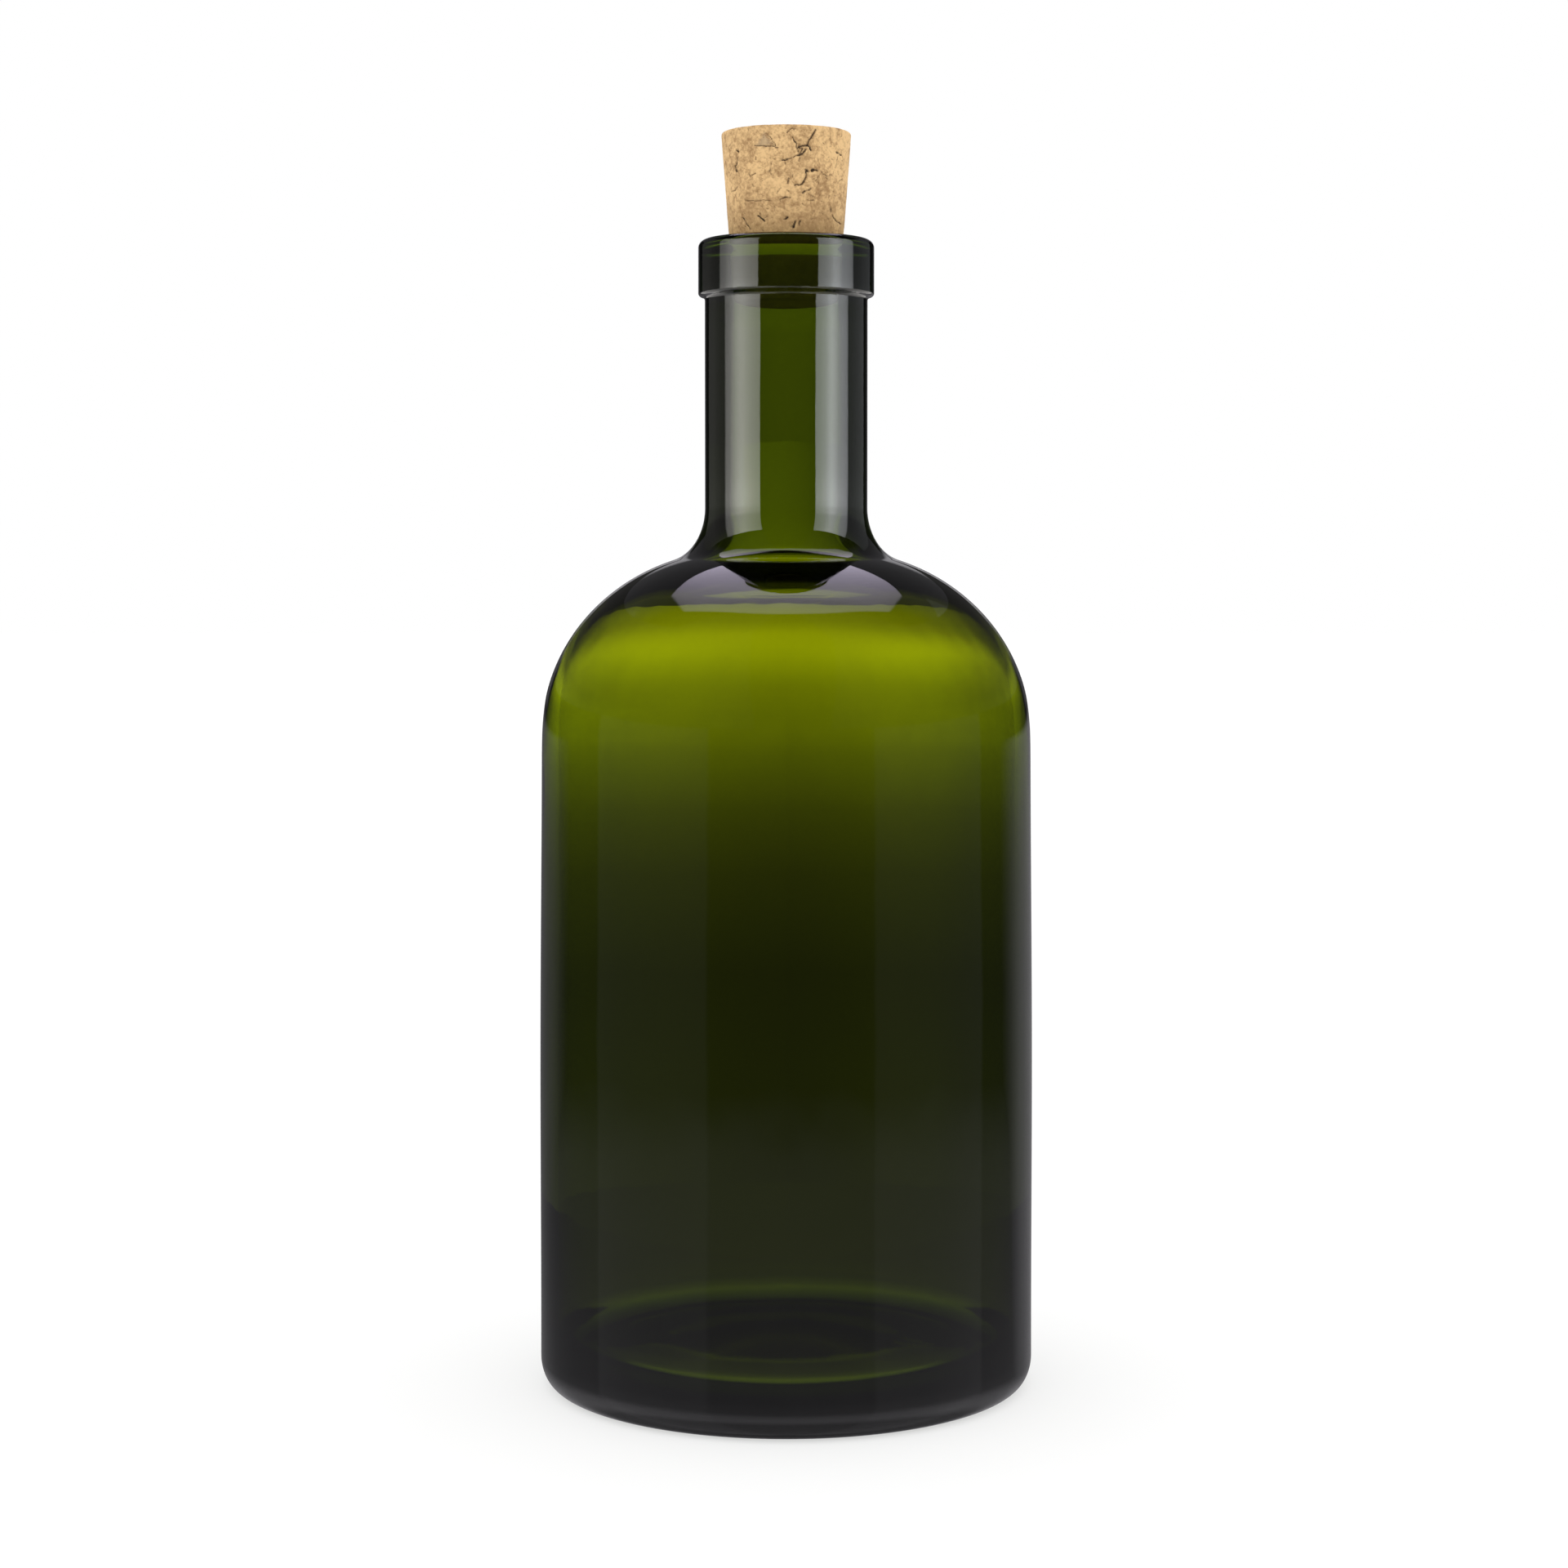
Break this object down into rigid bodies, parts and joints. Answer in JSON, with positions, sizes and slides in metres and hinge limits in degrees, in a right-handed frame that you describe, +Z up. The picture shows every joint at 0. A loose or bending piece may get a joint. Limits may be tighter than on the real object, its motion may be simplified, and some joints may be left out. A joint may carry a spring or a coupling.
{
  "type": "glass bottle with cork",
  "caption": "Round olive-green glass bottle with a domed shoulder, a parallel neck and a squared lip, closed by a tapered cork of pressed granules.",
  "frame": {"origin": "centre of the ring the bottle stands on, at floor level", "axes": "+Z up along the bottle's axis of revolution, from the base through the neck to the cork; the bottle is round, so the direction of +X is free, and the side shown first faces -Y"},
  "size_m": [0.0788, 0.0788, 0.1993],
  "materials": {
    "olive_glass": "clear olive-green glass with a fire-polished, glossy surface",
    "pressed_cork": "matt pressed cork granules with small dark pits and cracks"
  },
  "bodies": {
    "root": {"bottle": "olive_glass", "cork": "pressed_cork"}
  },
  "joints": []
}
